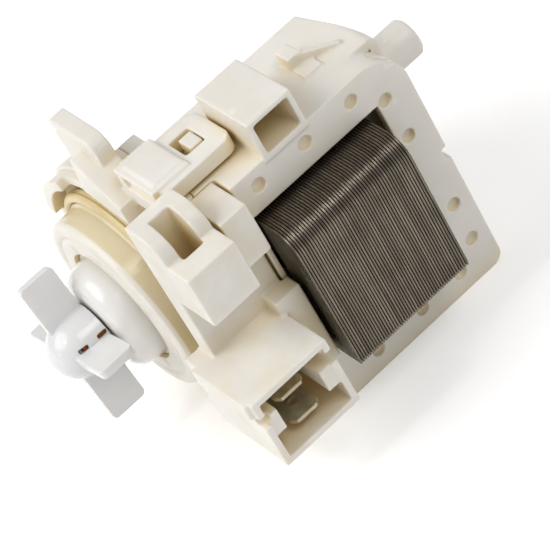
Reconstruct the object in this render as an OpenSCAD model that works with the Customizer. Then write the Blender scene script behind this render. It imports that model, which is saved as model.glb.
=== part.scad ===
// Washer drain pump: synchronous motor with a spigot head and a four-blade impeller.
// The pump axis lies along Y, the impeller faces -Y, the plug opens to +X and +Z is up.
// The origin is on the pump axis, in the middle of the spigot's rim.

/* [Spigot and flange] */
// Radius of the spigot rim that enters the sump
spigot_r = 18.5; // [17:0.5:19]
// Length of the spigot rim along the axis
spigot_len = 5; // [4.6:0.1:5.2]
// Wall of the spigot shell
spigot_wall = 2; // [1.6:0.1:2.2]
// Radius of the shoulder that carries the seal
seat_r = 19; // [18.8:0.1:19.4]
// Hole in the spigot's front wall
mouth_r = 11.9; // [11.6:0.1:12.2]
// Depth of the shallow ring groove in the front face
face_groove_depth = 0.35; // [0.2:0.05:0.6]
// Width of the shallow ring groove in the front face
face_groove_w = 0.8; // [0.5:0.1:1.2]
// Radius of the shallow ring groove in the front face
face_groove_r = 15; // [14.2:0.1:15.6]
// Step from the bayonet fingers out to the flange's edge
flange_step = 0.8; // [0.5:0.1:1]
// Thickness of the mounting flange
flange_t = 3; // [2.4:0.1:3.4]
// Distance from the origin to the flange's front face
flange_y = 6; // [5.8:0.1:6.4]
// Room between the seal and the bayonet fingers
seal_room = 1.6; // [1.4:0.1:1.8]
// Radial thickness of the bayonet fingers
finger_t = 2.2; // [1.8:0.1:2.6]
// Length of the bayonet fingers along the axis
finger_len = 3.5; // [3:0.1:4]
// Height of the low rim between the fingers
rim_len = 1.6; // [1:0.1:2.4]
// Height of the locking lug above the axis
lug_top = 35.5; // [34:0.5:37]
// Width of the locking lug
lug_w = 14; // [12:0.5:16]
// Left side of the locking lug, measured from the axis
lug_left = 8; // [7:0.5:10]
// Length of the ramp that falls from the lug's right side
ramp_len = 10; // [8:0.5:11]
// Fall of the ramp along its length
ramp_fall = 7.3; // [6:0.1:7.5]
// Reach of the ramp in front of the flange
ramp_reach = 2.2; // [1:0.1:2.4]

/* [Seal] */
// Thickness of the seal ring across its section
seal_t = 2; // [1.6:0.1:2.4]
// Length of the seal ring along the axis
seal_len = 2.6; // [2:0.1:2.7]

/* [Front panel and latch] */
// Thickness of the panel that closes the motor housing
panel_t = 3.6; // [3.2:0.1:3.8]
// Width of the latch strap
latch_w = 12; // [10:0.5:13]
// Thickness of the latch strap
latch_t = 3.2; // [2.6:0.1:3.6]
// Middle of the latch strap across the pump
latch_x = 17.5; // [16:0.5:18.5]
// Length of the raised box at the root of the latch
box_len = 8.4; // [8:0.1:9]
// Height of the raised box over the strap
box_rise = 0.6; // [0.4:0.1:1.2]
// Height of the tile on the raised box
tile_rise = 0.4; // [0.2:0.1:0.6]
// Width of the catch window in the latch
window_w = 5.4; // [5:0.1:6]
// Length of the catch window in the latch
window_l = 4.3; // [4.1:0.1:4.6]

/* [Motor housing] */
// Right face of the housing, seen from the front
case_right = 29; // [28:0.5:30]
// Left face of the housing, measured from the axis
case_left = 17.5; // [17.2:0.1:19]
// Where the housing's flat top starts, right of the axis
top_left = 6.2; // [5.8:0.1:6.6]
// Slope of the housing's shoulder over the rotor, in degrees
shoulder_deg = 40; // [38:0.5:42]
// Top of the housing above the axis
case_top = 27.5; // [27:0.1:28.4]
// Depth of the housing's bottom below the flange
bottom_room = 0.9; // [0.4:0.1:2]
// Rear face of the housing behind the origin
case_rear = 54.4; // [53.4:0.1:55]
// Wall of the housing
case_wall = 2; // [1.6:0.1:2.2]
// Radius of the housing's upper rear corner
case_corner_r = 8; // [5:0.5:9]
// Radius of the housing's other corners
case_edge_r = 2.4; // [1:0.1:3]
// Thickness of the frame plate that holds the large corner
frame_t = 5; // [4:0.1:5]
// Right face of the housing's narrow front neck
neck_right = 24; // [23:0.5:24.5]
// Where the full width of the housing starts
frame_front = 16.8; // [16:0.1:17.4]
// Width of the clip's block across the pump
clip_w = 4; // [3:0.1:5]
// Height of the clip on the housing's top
clip_h = 3; // [2:0.1:3.4]
// Length of the clip's tongue
clip_len = 8; // [6:0.1:9]
// Turn of the clip's tongue towards the right, in degrees
clip_turn = 20; // [0:1:30]
// Radius of the round blind dimples
dimple_r = 1.35; // [1:0.05:1.6]
// Depth of the round blind dimples
dimple_depth = 1.1; // [0.6:0.1:1.4]
// Width of the wire socket on top
socket_w = 9.8; // [9.2:0.2:10.4]
// Height of the wire socket on top
socket_h = 7.8; // [7.2:0.1:8.6]
// Length of the wire socket
socket_len = 15.4; // [15:0.1:17]
// Depth of the wire socket's cavity
socket_depth = 14; // [10:0.5:14.5]
// Wall of the wire socket
socket_wall = 1.1; // [0.8:0.1:1.4]
// Front side of the wire socket
socket_y = 24.6; // [24.4:0.1:25]

/* [Lamination stack] */
// Number of lamination sheets
sheets = 48; // [30:1:48]
// Pitch of the lamination sheets
sheet_pitch = 0.545; // [0.45:0.005:0.545]
// Depth of the joint between two sheets
sheet_step = 0.3; // [0.15:0.05:0.4]
// Share of the pitch that a sheet fills
sheet_fill = 0.62; // [0.5:0.02:0.8]
// Outer face of the yoke
yoke_right = 38; // [36:0.5:40]
// Thickness of the yoke
yoke_t = 8.6; // [8:0.1:8.8]
// Top of the yoke above the axis
yoke_top = 18.1; // [17.6:0.1:18.6]
// Bottom of the yoke below the axis
yoke_bottom = 13.3; // [12.6:0.1:13.8]
// Radius of the yoke's upper corner
yoke_corner_r = 4.5; // [2:0.1:6]
// Height of each arm of the core
arm_h = 8; // [7:0.1:8.4]
// Half width of a pole shoe
pole_half = 12.6; // [12.2:0.1:12.8]
// Outer height of a pole shoe above the axis
pole_h = 20; // [18:0.1:21]

/* [Coils] */
// Length of a coil along its arm
coil_len = 7.4; // [6:0.1:7.6]
// Thickness of a bobbin's end plate
cheek_t = 1; // [0.8:0.1:1.4]
// Wall of a bobbin's tube
tube_wall = 0.8; // [0.6:0.1:1]
// Height of the winding over the bobbin's tube
winding_h = 3.2; // [2:0.1:3.3]

/* [Plug housing] */
// Outer width of the plug housing along the pump axis
plug_w = 17; // [15.5:0.1:17.2]
// Outer height of the plug housing
plug_h = 15.8; // [15:0.1:16.2]
// Outer end of the plug housing
plug_right = 44; // [43:0.1:46]
// Depth of the plug housing's cavity
plug_depth = 15; // [12:0.5:16]
// Wall of the plug housing
plug_wall = 1.3; // [1:0.1:1.6]
// Front side of the plug housing
plug_y = -4; // [-5:0.1:-3.8]
// Top of the plug housing against the axis
plug_top = 2.4; // [1.6:0.1:3]
// Thickness of the carrier's back plate
carrier_t = 4.6; // [4:0.1:5]
// Inward reach of the keys in the plug housing
key_reach = 2.6; // [1.6:0.1:2.8]
// Height of the keys in the plug housing
key_h = 4.8; // [3.6:0.1:5]
// Height of the keys' tops above the middle of the plug housing
key_rise = 2.6; // [2.2:0.1:2.8]

/* [Hook block] */
// Outer face of the hook block
hook_right = 39.4; // [38.4:0.1:41]
// Width of the hook block along the pump axis
hook_w = 10.4; // [9.8:0.1:10.6]
// Front side of the hook block
hook_y = -0.6; // [-1.5:0.1:-0.4]
// Top of the hook block's low part
hook_low = 27.5; // [26.6:0.1:28]
// Bottom of the hook block
hook_bottom = 16.5; // [15.6:0.1:17.5]
// Top of the hook's two arms
hook_top = 32.5; // [31.6:0.1:33.4]
// Width of the slot between the arms
hook_slot = 4.4; // [4.2:0.1:4.6]
// Outer face of the small stop beside the hook
stop_right = 34.3; // [33:0.1:36]
// Width of the small stop beside the hook
stop_w = 5.8; // [4:0.1:6]

/* [Terminals] */
// Width of a spade terminal
tab_w = 6.3; // [4.8:0.1:6.3]
// Thickness of a spade terminal
tab_t = 0.8; // [0.5:0.1:0.8]
// Distance between the two terminals
tab_pitch = 5.1; // [4.8:0.1:5.3]
// Length of a terminal in the open cavity
tab_len = 12.6; // [10:0.1:13.4]
// How far the upper terminal's tip stays behind the lower one's
tab_step = 1.3; // [0:0.1:2]
// Radius of the hole in a terminal
tab_hole_r = 0.9; // [0.7:0.05:1]

/* [Rotor] */
// Radius of the shaft
shaft_r = 1.5; // [1.3:0.05:1.6]
// Running clearance of the shaft, on the radius
shaft_play = 0.05; // [0.02:0.01:0.08]
// Radius of the rotor magnet
magnet_r = 9.6; // [9:0.1:9.7]
// Length of the rotor magnet
magnet_len = 28; // [24:0.5:29]
// Inner radius of the wet rotor chamber
chamber_r = 10.3; // [10.2:0.1:10.4]
// Wall of the wet rotor chamber
chamber_wall = 1; // [0.9:0.1:1.1]
// Radial gap between the chamber and the poles
pole_gap = 0.4; // [0.3:0.05:0.6]
// Width of the coupling claw and of its stop, in degrees
claw_deg = 40; // [30:1:50]

/* [Bearings] */
// Outer radius of the sleeve bearings
bearing_r = 3.7; // [3.4:0.1:3.8]
// Length of the sleeve bearings
bearing_len = 6; // [5:0.1:6.2]
// Radial thickness of the rubber bearing mounts
mount_t = 1.6; // [1.4:0.1:1.7]
// Thickness of the thrust washers
washer_t = 0.8; // [0.5:0.1:0.9]

/* [Bearing boss] */
// Radius of the white bearing boss
boss_r = 10.8; // [10.6:0.1:11]
// Reach of the white bearing boss in front of the spigot
boss_reach = 5.2; // [4.4:0.1:5.6]

/* [Impeller] */
// Radius of the impeller's hub
hub_r = 6; // [5.6:0.1:6.4]
// Length of the hub's straight part
hub_len = 4.4; // [4:0.1:5]
// Radius to the tips of the blades
blade_tip_r = 15.4; // [14:0.1:17]
// Width of a blade along the axis
blade_w = 7.4; // [6:0.1:7.6]
// Thickness of a blade
blade_t = 1.8; // [1.2:0.1:2.2]
// Turn of the blades at rest, in degrees
blade_turn = 14; // [0:1:20]
// Number of blades
blades = 4; // [3:1:6]

/* [Rear peg] */
// Radius of the mounting peg
peg_r = 4; // [3:0.1:4.5]
// Free length of the mounting peg
peg_len = 11.6; // [8:0.2:14]
// Radius of the round boss at the foot of the peg
rear_boss_r = 13; // [10:0.5:14]
// Length of the round boss at the foot of the peg
rear_boss_len = 4.2; // [3:0.1:6]
// Height of the peg's axis above the pump axis
peg_z = 1.9; // [1:0.1:2.4]

/* [Hidden] */
$fn = 64;
// Gap between pieces that are fitted together
seat = 0.3;
// Overlap that makes a cut run past a face
cut = 1;
// Half size of a block that takes away everything past a plane
far = 80;
// Running gap between the boss and the turning hub
hub_gap = 0.4;
// How far the blades' back edges stand in front of the hub's
blade_back = 0.2;

spigot_front = -spigot_len / 2 + 0.5;
spigot_back = spigot_front + spigot_len;
flange_back = flange_y + flange_t;
finger_r = seat_r + seal_t + seal_room + finger_t;
flange_r = finger_r + flange_step;
case_bottom = flange_r + bottom_room;
panel_back = flange_back + panel_t;
case_front = panel_back;
panel_right = neck_right;
latch_z = case_top + 0.7;
latch_end = socket_y - 0.6;
latch_lip = 3.3;
box_left = 10.2;
box_right = 22.2;
latch_front = flange_y + 1;
latch_root_z = case_top - 3;
window_x = latch_x - window_w / 2 - 0.6;
window_y = latch_end - latch_lip - window_l;
socket_z = case_top - 1;
stack_len = sheets * sheet_pitch;
stack_y = frame_front + 1.4;
opening_y = stack_y - seat;
opening_len = 28.8;
pole_bore_r = chamber_r + chamber_wall + pole_gap;
coil_x = pole_half + 1.6;
carrier_x = neck_right + seat;
plug_back = plug_y + plug_w;
plug_mid_y = plug_y + plug_w / 2;
plug_mid_z = plug_top - plug_h / 2;
bearing_y = 1;
mount_r = bearing_r + mount_t;
washer_r = 3.4;
washer_y = bearing_y + bearing_len + 0.5;
claw_y = washer_y + washer_t + 0.3;
claw_len = 3.6;
claw_r = 7.5;
cup_r = 9.3;
magnet_y = claw_y + claw_len + 1.6;
magnet_end = magnet_y + magnet_len;
rear_washer_y = magnet_end + 0.3;
chamber_end = rear_washer_y + washer_t + 0.3;
rear_bearing_y = chamber_end + 0.3;
cup_end = rear_bearing_y + bearing_len + 0.5;
boss_end = case_rear + rear_boss_len;
peg_end = boss_end + peg_len;
key_top = plug_mid_z + key_rise;
tab_mid_z = plug_mid_z - 1.7;
wall_right = plug_right - 11;
wall_y = frame_front - seat - 0.2;
trim_x = neck_right - 2;
trim_z = 16;
trim_deg = 14.7;
hub_back = spigot_front - boss_reach - hub_gap;
dome_y = hub_back - hub_len;
insert_r = hub_r - 0.8;

// Where the bayonet fingers start and end round the axis, in degrees
finger_spans = [[112, 158], [-10, 54], [-86, -50], [196, 224]];

// A solid of revolution about the pump axis, from points of [radius, y]
module about_axis(points) {
    rotate([-90, 0, 0]) rotate_extrude($fn = 96) polygon(points);
}

// A cylinder along Y between two stations
module rod_y(r, y0, y1, x = 0, z = 0) {
    translate([x, y0, z]) rotate([-90, 0, 0]) cylinder(r = r, h = y1 - y0);
}

// An outline drawn in x and z, made solid between two y stations
module slab_y(y0, y1) {
    translate([0, y1, 0]) rotate([90, 0, 0]) linear_extrude(y1 - y0) children();
}

// An outline drawn in y and z, made solid between two x stations
module slab_x(x0, x1) {
    translate([x0, 0, 0]) rotate([90, 0, 90]) linear_extrude(x1 - x0) children();
}

// A box from its low corner to its high corner
module block(low, high) {
    translate(low) cube(high - low);
}

// A rectangle from corner to corner with round corners
module round_rect(x0, y0, x1, y1, r) {
    translate([x0 + r, y0]) square([x1 - x0 - 2 * r, y1 - y0]);
    translate([x0, y0 + r]) square([x1 - x0, y1 - y0 - 2 * r]);
    for (x = [x0 + r, x1 - r], y = [y0 + r, y1 - r]) translate([x, y]) circle(r);
}

// A wedge in the plane between two angles
module wedge(a0, a1, r) {
    steps = 6;
    polygon(concat([[0, 0]], [for (i = [0 : steps])
        let (a = a0 + (a1 - a0) * i / steps) r * [cos(a), sin(a)]]));
}

module flange_outline() {
    difference() {
        circle(flange_r, $fn = 96);
        translate([neck_right, -flange_r]) square([flange_r, 2 * flange_r]);
    }
}

// The ring that the bayonet fingers and the low rim between them are cut from
module finger_ring() {
    difference() {
        circle(finger_r, $fn = 96);
        circle(finger_r - finger_t, $fn = 96);
        translate([neck_right - 1, -flange_r]) square([flange_r, 2 * flange_r]);
    }
}

// The flat piece with two round upper corners that stands on the flange
module lug_outline() {
    r = 3;
    x1 = lug_w - lug_left;
    translate([-lug_left, 0]) square([lug_w, lug_top - r]);
    translate([-lug_left + 1, 0]) square([lug_w - 1 - r, lug_top]);
    translate([-lug_left + 1, lug_top - 1]) circle(1);
    translate([x1 - r, lug_top - r]) circle(r);
}

// The ramp at the lug's right foot, which covers the flange's edge
module ramp_outline() {
    ramp_x = lug_w - lug_left - 4;
    ramp_z = lug_top - 2.2;
    polygon([
        [ramp_x - 3, finger_r - 0.8], [ramp_x, ramp_z],
        [ramp_x + ramp_len, ramp_z - ramp_fall], [ramp_x + ramp_len, finger_r - 2.6]
    ]);
}

// Everything under the sloping shoulder, at a distance from the outer face
module under_shoulder(inset) {
    translate([top_left, case_top]) rotate(shoulder_deg)
        translate([-far, -far - inset]) square([2 * far, far]);
}

// The outline of the front panel and of the housing's front rim
module panel_outline() {
    intersection() {
        round_rect(-case_left, -case_bottom, panel_right, case_top, 1.5);
        under_shoulder(-3.4);
    }
}

// The strap with its window, the raised box at its root with its tile, and the ledge beside it
module latch_strap() {
    strap_x = latch_x - latch_w / 2;
    strap_corner_r = 2.2;
    box_z = latch_z + latch_t + box_rise;
    box_back = latch_front + box_len;
    ledge_w = 2.6;
    ledge_drop = 1.8;
    rim = 1.3;
    slot_depth = 0.8;
    difference() {
        union() {
            translate([0, 0, latch_z]) linear_extrude(latch_t)
                round_rect(strap_x, latch_front + 1, strap_x + latch_w, latch_end, strap_corner_r);
            block([box_left, latch_front, latch_root_z], [box_right, box_back, box_z]);
            block([box_left + rim, latch_front + rim, box_z - cut],
                [box_right - rim, box_back - rim / 3, box_z + tile_rise]);
            block([box_left - ledge_w, latch_front + 2 * cut, latch_root_z],
                [box_left + cut, box_back, box_z - ledge_drop]);
        }
        block([box_left - ledge_w - cut, panel_back + 0.2, latch_root_z - cut],
            [strap_x + latch_w + cut, latch_end + cut, latch_z]);
        translate([window_x, window_y, latch_z - cut])
            cube([window_w, window_l, latch_t + 2 * cut]);
        block([box_left + 2, latch_front - cut, latch_z + seat],
            [box_right - 2, latch_front + slot_depth, box_z - slot_depth]);
    }
}

module pump_head() color("ivory") {
    chamber_out = chamber_r + chamber_wall;
    difference() {
        union() {
            about_axis([
                [mouth_r, spigot_front], [spigot_r - 1.2, spigot_front],
                [spigot_r - 0.35, spigot_front + 0.35], [spigot_r, spigot_front + 1.2],
                [spigot_r, spigot_back], [seat_r, spigot_back + 0.5],
                [seat_r, flange_y + 0.5], [seat_r - spigot_wall, flange_y + 0.5],
                [seat_r - spigot_wall, spigot_back],
                [spigot_r - spigot_wall, spigot_front + spigot_wall],
                [mouth_r, spigot_front + spigot_wall]
            ]);
            slab_y(flange_y, flange_back) flange_outline();
            slab_y(flange_y + 1, flange_back + 1.4) lug_outline();
            slab_y(flange_y - ramp_reach, flange_back + 1.4) ramp_outline();
            slab_y(flange_back, panel_back) panel_outline();
            rod_y(chamber_out, flange_back, chamber_end + chamber_wall);
            rod_y(mount_r + chamber_wall, chamber_end, cup_end + chamber_wall);
            rod_y(mouth_r + 1.2, spigot_front + 1, flange_back);
            slab_y(flange_y - rim_len, flange_y + cut) finger_ring();
            for (span = finger_spans)
                slab_y(flange_y - finger_len, flange_y + cut) intersection() {
                    finger_ring();
                    wedge(span[0], span[1], flange_r * 1.3);
                }
            latch_strap();
        }
        rod_y(chamber_r, spigot_front + spigot_wall, chamber_end);
        rod_y(mouth_r, spigot_front - cut, bearing_y);
        rod_y(mount_r, chamber_end - cut, cup_end);
        about_axis([
            [face_groove_r, spigot_front - cut],
            [face_groove_r + face_groove_w, spigot_front - cut],
            [face_groove_r + face_groove_w, spigot_front + face_groove_depth],
            [face_groove_r, spigot_front + face_groove_depth]
        ]);
        for (x = [-6, 12])
            block([x - 3.5, flange_back - cut, -case_bottom + 3.4],
                [x + 3.5, panel_back + cut, -case_bottom + 5]);
    }
}

module seal_ring() color("palegoldenrod") {
    r0 = seat_r + 0.05;
    y0 = spigot_back + 0.1;
    about_axis([
        [r0, y0 + 0.6], [r0 + 0.6, y0], [r0 + seal_t - 0.5, y0 + 0.3],
        [r0 + seal_t, y0 + 1], [r0 + seal_t, y0 + seal_len - 0.5],
        [r0 + seal_t - 0.5, y0 + seal_len], [r0, y0 + seal_len]
    ]);
}

module bearing_boss() color("whitesmoke") {
    front = spigot_front - boss_reach;
    back = bearing_y + bearing_len + seat;
    about_axis([
        [shaft_r + 0.6, front], [boss_r - 3.2, front], [boss_r - 1.6, front + 0.5],
        [boss_r - 0.6, front + 1.5], [boss_r - 0.1, front + 2.8], [boss_r, front + 4],
        [boss_r, bearing_y - seat], [chamber_r - seat, bearing_y - seat],
        [chamber_r - seat, back], [mount_r, back], [mount_r, bearing_y - seat],
        [shaft_r + 0.6, bearing_y - seat]
    ]);
}

module impeller() color("ghostwhite") {
    blade_y0 = hub_back - blade_back - blade_w;
    slot_depth = 1.6;
    slot_len = 2;
    slot_h = 0.9;
    slot_rib = 0.05;
    difference() {
        union() {
            rod_y(hub_r, dome_y, hub_back);
            about_axis(concat([[0, dome_y + 0.2], [0, dome_y - hub_r]],
                [for (a = [6 : 6 : 90]) [hub_r * sin(a), dome_y - hub_r * cos(a)]],
                [[hub_r, dome_y + 0.2]]));
            for (i = [0 : blades - 1])
                rotate([0, -blade_turn - i * 360 / blades, 0])
                    translate([0, 0, -blade_t / 2]) linear_extrude(blade_t)
                        round_rect(hub_r - 1.4, blade_y0, blade_tip_r, blade_y0 + blade_w, 1);
        }
        rod_y(insert_r, dome_y - 1, hub_back + cut);
        rotate([0, -blade_turn, 0])
            for (y = [dome_y - 1, hub_back - 1.2])
                block([hub_r - slot_depth, y - slot_len / 2, blade_t / 2 + slot_rib],
                    [hub_r + slot_rib, y + slot_len / 2, blade_t / 2 + slot_rib + slot_h]);
    }
}

module impeller_insert() color("peru") {
    difference() {
        rod_y(insert_r, dome_y - 1, hub_back - 0.2);
        rod_y(shaft_r, dome_y, hub_back + cut);
    }
}

module shaft() color("silver") {
    rod_y(shaft_r, dome_y, rear_bearing_y + bearing_len);
}

module drive_claw() color("dimgray") {
    difference() {
        union() {
            rod_y(3.4, claw_y, claw_y + claw_len);
            slab_y(claw_y, claw_y + claw_len) intersection() {
                circle(claw_r);
                wedge(-claw_deg / 2, claw_deg / 2, claw_r * 1.3);
            }
        }
        rod_y(shaft_r, claw_y - cut, claw_y + claw_len + cut);
    }
}

module rotor_carrier() color("gainsboro") {
    difference() {
        union() {
            rod_y(cup_r, claw_y - 0.2, magnet_y);
            rod_y(magnet_r / 2, magnet_y - 0.2, magnet_end);
        }
        difference() {
            rod_y(claw_r + 0.3, claw_y - cut, claw_y + claw_len + 0.3);
            slab_y(claw_y - 2 * cut, magnet_y) difference() {
                wedge(180 - claw_deg / 2, 180 + claw_deg / 2, cup_r * 1.3);
                circle(3.9);
            }
        }
        rod_y(shaft_r + shaft_play, claw_y, magnet_end + cut);
    }
}

module rotor_magnet() color("#3a3a3c") {
    difference() {
        rod_y(magnet_r, magnet_y, magnet_end);
        rod_y(magnet_r / 2, magnet_y - cut, magnet_end + cut);
    }
}

module bearing_at(y) color("darkgoldenrod") {
    difference() {
        rod_y(bearing_r, y, y + bearing_len);
        rod_y(shaft_r + shaft_play, y - cut, y + bearing_len + cut);
    }
}

module bearing_mount_at(y) color("#222222") {
    difference() {
        rod_y(mount_r, y, y + bearing_len);
        rod_y(bearing_r, y - cut, y + bearing_len + cut);
    }
}

module washer_at(y) color("lightgray") {
    difference() {
        rod_y(washer_r, y, y + washer_t);
        rod_y(shaft_r + shaft_play, y - cut, y + washer_t + cut);
    }
}

module front_bearing() bearing_at(bearing_y);
module rear_bearing() bearing_at(rear_bearing_y);
module front_bearing_mount() bearing_mount_at(bearing_y);
module rear_bearing_mount() bearing_mount_at(rear_bearing_y);
module front_thrust_washer() washer_at(washer_y);
module rear_thrust_washer() washer_at(rear_washer_y);

// The yoke's outline, grown or shrunk by a step on its free sides
module yoke_outline(step) {
    x0 = yoke_right - yoke_t;
    r = yoke_corner_r;
    translate([0, -yoke_bottom + step])
        translate([x0, 0]) square([yoke_t - step - r, yoke_top + yoke_bottom - 2 * step]);
    translate([x0, -yoke_bottom + step])
        square([yoke_t - step, yoke_top + yoke_bottom - 2 * step - r]);
    translate([yoke_right - step - r, yoke_top - step - r]) circle(r);
}

module core_outline() {
    difference() {
        union() {
            yoke_outline(sheet_step);
            for (z = [yoke_top - arm_h, -yoke_bottom])
                translate([pole_half, z + sheet_step])
                    square([yoke_right - yoke_t - pole_half + 1, arm_h - 2 * sheet_step]);
            for (side = [-1, 1])
                translate([-pole_half, side < 0 ? -pole_h : 4])
                    square([2 * pole_half + 1, pole_h - 4]);
        }
        circle(pole_bore_r, $fn = 96);
        difference() {
            translate([-far, -far]) square(2 * far);
            under_shoulder(case_wall + seat);
        }
    }
}

module core_stack() color("#4a443c") {
    slab_y(stack_y, stack_y + stack_len) core_outline();
    for (i = [0 : sheets - 1])
        slab_y(stack_y + i * sheet_pitch, stack_y + (i + sheet_fill) * sheet_pitch)
            yoke_outline(0);
}

// The middle height of the upper arm (side 1) or the lower arm (side -1)
function arm_mid(side) = side > 0 ? yoke_top - arm_h / 2 : -yoke_bottom + arm_h / 2;

// A rectangle round an arm, grown by a margin, drawn in y and z
module arm_frame(side, grow) {
    h = arm_h / 2 + grow;
    translate([stack_y - grow, arm_mid(side) - h]) square([stack_len + 2 * grow, 2 * h]);
}

module bobbin(side) color("#d8d2c0") {
    bore = seat;
    top = bore + tube_wall + winding_h;
    slab_x(coil_x, coil_x + coil_len) difference() {
        arm_frame(side, bore + tube_wall);
        arm_frame(side, bore);
    }
    for (x = [coil_x, coil_x + coil_len - cheek_t])
        slab_x(x, x + cheek_t) difference() {
            arm_frame(side, top + 0.3);
            arm_frame(side, bore);
        }
}

module winding(side) color("#b4592a") {
    slab_x(coil_x + cheek_t, coil_x + coil_len - cheek_t) difference() {
        arm_frame(side, seat + tube_wall + winding_h);
        arm_frame(side, seat + tube_wall);
    }
}

module upper_bobbin() bobbin(1);
module lower_bobbin() bobbin(-1);
module upper_winding() winding(1);
module lower_winding() winding(-1);

// The housing's side outline in y and z, with its own radius at the upper rear corner
module case_side(inset, corner) {
    y0 = case_front - cut;
    y1 = case_rear - inset;
    z0 = -case_bottom + inset;
    z1 = case_top - inset;
    r = max(corner - inset, 0.4);
    e = max(case_edge_r - inset, 0.4);
    translate([y0, z0 + e]) square([y1 - y0, z1 - z0 - e - r]);
    translate([y0, z0]) square([y1 - y0 - e, z1 - z0 - r]);
    translate([y0, z0 + e]) square([y1 - y0 - r, z1 - z0 - e]);
    translate([y1 - e, z0 + e]) circle(e);
    translate([y1 - r, z1 - r]) circle(r);
}

module dimples() {
    top_z = case_top - 3.6;
    low_z = -case_bottom + 4.2;
    rear_y = case_rear - 3.9;
    spots = [
        [frame_front + 4.8, top_z], [frame_front + 15.5, top_z], [frame_front + 26.1, top_z],
        [rear_y - 2.1, top_z - 4.8], [rear_y - 1.4, top_z - 14.2],
        [rear_y, top_z - 33], [rear_y, top_z - 41.8],
        [rear_y - 5, low_z], [rear_y - 14.4, low_z], [rear_y - 25.2, low_z]
    ];
    for (s = spots)
        translate([case_right - dimple_depth, s[0], s[1]]) rotate([0, 90, 0])
            cylinder(r = dimple_r, h = dimple_depth + cut);
}

// Everything in front of the slanting cut at the housing's upper rear left corner
module trimmed_rear(inset) {
    block([-far, 0, -far], [far, far, trim_z - inset]);
    translate([trim_x, case_rear, 0]) rotate(trim_deg)
        translate([-far, -2 * far - inset, -far]) cube(2 * far);
}

// The housing's solid body, or its inside when an inset is given
module case_body(inset) {
    plate_x = case_right - frame_t;
    front = inset > 0 ? case_front - 2 * cut : case_front;
    intersection() {
        union() {
            slab_x(-case_left + inset, plate_x) case_side(inset, case_edge_r);
            slab_x(plate_x - cut, case_right - inset) case_side(inset, case_corner_r);
        }
        slab_y(front, case_rear) under_shoulder(inset);
        trimmed_rear(inset);
        union() {
            block([-case_left - cut, front, -case_bottom - cut],
                [neck_right - inset, case_rear + cut, case_top + cut]);
            block([neck_right - inset - cut, frame_front + inset, -case_bottom - cut],
                [case_right + cut, case_rear + cut, case_top + cut]);
        }
    }
}

// The clip on the housing's top: a block, a tongue that slopes down behind it, and a low plate
module wire_clip() {
    x = top_left + 7.6;
    y = case_rear - 13.7;
    block_len = 2.9;
    tongue_t = 1;
    tip_h = 0.8;
    plate_h = 0.6;
    foot = case_top - 0.2;
    block([x, y, foot], [x + clip_w, y + block_len, case_top + clip_h]);
    block([x + clip_w - cut, y, foot], [x + clip_w + 3.5, y + 4, case_top + plate_h]);
    translate([x + clip_w - tongue_t, y + block_len - tongue_t, foot]) rotate(-clip_turn)
        slab_x(0, tongue_t) polygon([
            [0, 0], [clip_len, 0], [clip_len, tip_h], [clip_len * 0.55, clip_h * 0.6],
            [0, clip_h + 0.2]
        ]);
}

module motor_housing() color("antiquewhite") {
    catch_gap = 1.3;
    catch_y = window_y + catch_gap;
    catch_x = window_x + catch_gap;
    socket_floor = 1.4;
    notch_w = 2.6;
    notch_z = -0.3;
    peg_bevel = 0.6;
    foot_bevel = 1.6;
    socket_right = case_right + 0.4;
    socket_left = socket_right - socket_len;
    socket_top = socket_z + socket_h + 1;
    difference() {
        union() {
            case_body(0);
            slab_y(case_front, case_front + 3.6) panel_outline();
            block([socket_left, socket_y, socket_z],
                [socket_right, socket_y + socket_w, socket_top]);
            block([catch_x, catch_y, case_top - 0.2],
                [window_x + window_w - seat, window_y + window_l - seat, latch_z + latch_t + 0.2]);
            wire_clip();
            translate([0, 0, peg_z]) about_axis([
                [0, case_rear - cut], [rear_boss_r, case_rear - cut],
                [rear_boss_r, boss_end - foot_bevel], [rear_boss_r - foot_bevel, boss_end],
                [peg_r, boss_end], [peg_r, peg_end - peg_bevel], [peg_r - peg_bevel, peg_end],
                [0, peg_end]
            ]);
        }
        case_body(case_wall);
        block([neck_right - case_wall - cut, opening_y, -yoke_bottom - seat],
            [case_right + cut, opening_y + opening_len, yoke_top + 1.2]);
        block([socket_right - socket_depth, socket_y + socket_wall, socket_z + socket_floor],
            [socket_right + cut, socket_y + socket_w - socket_wall, socket_top - socket_wall]);
        dimples();
        block([case_right - 6, case_rear - 1.1, notch_z],
            [case_right + cut, case_rear + cut, notch_z + notch_w]);
    }
}

module hook_profile() {
    r = hook_top - hook_low;
    x1 = hook_right - 6;
    translate([carrier_x, hook_bottom])
        square([hook_right - carrier_x, hook_low - hook_bottom]);
    translate([carrier_x, hook_low - 0.1]) square([x1 - r - carrier_x, r + 0.1]);
    intersection() {
        translate([x1 - r, hook_low]) circle(r);
        translate([x1 - r - 0.1, hook_low - 0.1]) square([r + 1, r + 1]);
    }
}

// The plug housing's side ledges, which guide the plug: one on the right, a stepped one on the left
module ledges() {
    inner = plug_right - plug_depth - cut;
    low = key_top - key_h;
    left = plug_y + plug_wall + key_reach;
    step = 1.2;
    drop = 1.8;
    block([inner, plug_back - plug_wall - key_reach, low], [plug_right - 0.4, plug_back, key_top]);
    block([inner, plug_y, low], [plug_right - step, left, key_top]);
    block([inner, plug_y, low - drop], [plug_right - 3, left - step, key_top]);
}

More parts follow.
